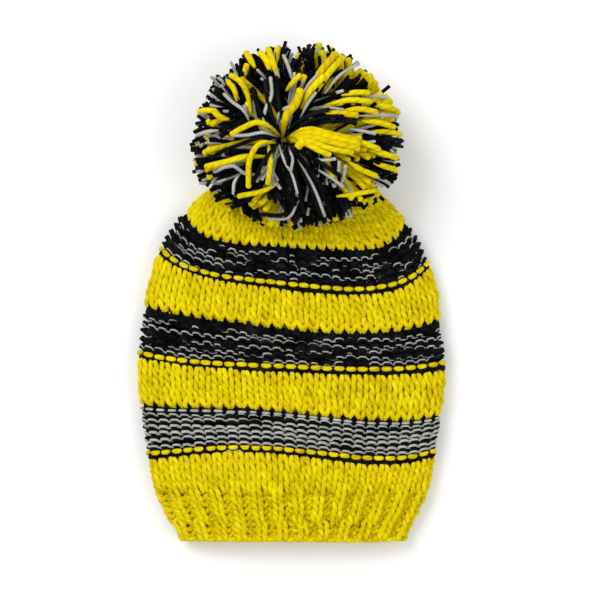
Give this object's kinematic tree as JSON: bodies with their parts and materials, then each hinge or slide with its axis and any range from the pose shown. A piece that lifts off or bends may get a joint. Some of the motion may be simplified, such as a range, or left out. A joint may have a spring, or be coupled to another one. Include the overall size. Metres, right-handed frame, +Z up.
{
  "type": "knit beanie",
  "caption": "Slouchy chunky-knit beanie with a ribbed cuff, welted marl stripes, a gathered crown and a loose pom-pom that tips and swings on its tie.",
  "frame": {"origin": "on the surface that the hat lies on, under the middle of its whole box", "axes": "+Z up from the surface, +Y from the hem to the pom-pom, +X to the right of the face that shows"},
  "size_m": [0.2508, 0.3996, 0.104],
  "materials": {
    "yellow_yarn": "matte",
    "black_yarn": "matte",
    "grey_yarn": "matte",
    "marl_yarn": "matte"
  },
  "bodies": {
    "hat": {"rib_cuff": "yellow_yarn", "forehead_section": "yellow_yarn", "lower_edge_row": "black_yarn", "lower_welt_row": "yellow_yarn", "lower_stripe": "marl_yarn", "lower_body_section": "yellow_yarn", "middle_edge_row": "black_yarn", "middle_welt_row": "yellow_yarn", "middle_stripe": "marl_yarn", "upper_body_section": "yellow_yarn", "upper_edge_row": "black_yarn", "upper_welt_row": "yellow_yarn", "upper_stripe": "marl_yarn", "crown_section": "yellow_yarn", "crown_cinch": "yellow_yarn", "back_seam": "yellow_yarn", "anchor_knot": "black_yarn", "anchor_tail": "black_yarn"},
    "knot": {"outer_knot": "black_yarn"},
    "pom": {"pom_tie": "black_yarn", "pom_anchor_cord": "black_yarn", "pom_yellow_strands": "yellow_yarn", "pom_black_strands": "black_yarn", "pom_grey_strands": "grey_yarn"}
  },
  "joints": [
    {"name": "pom_swing", "type": "hinge", "parent": "hat", "child": "knot", "pos_m": [0, 0.1024, 0.014], "axis": [0, 0, 1], "range_deg": [-15, 15]},
    {"name": "pom_lift", "type": "hinge", "parent": "knot", "child": "pom", "pos_m": [0, 0.1024, 0.014], "axis": [1, 0, 0], "range_deg": [0, 20]}
  ]
}
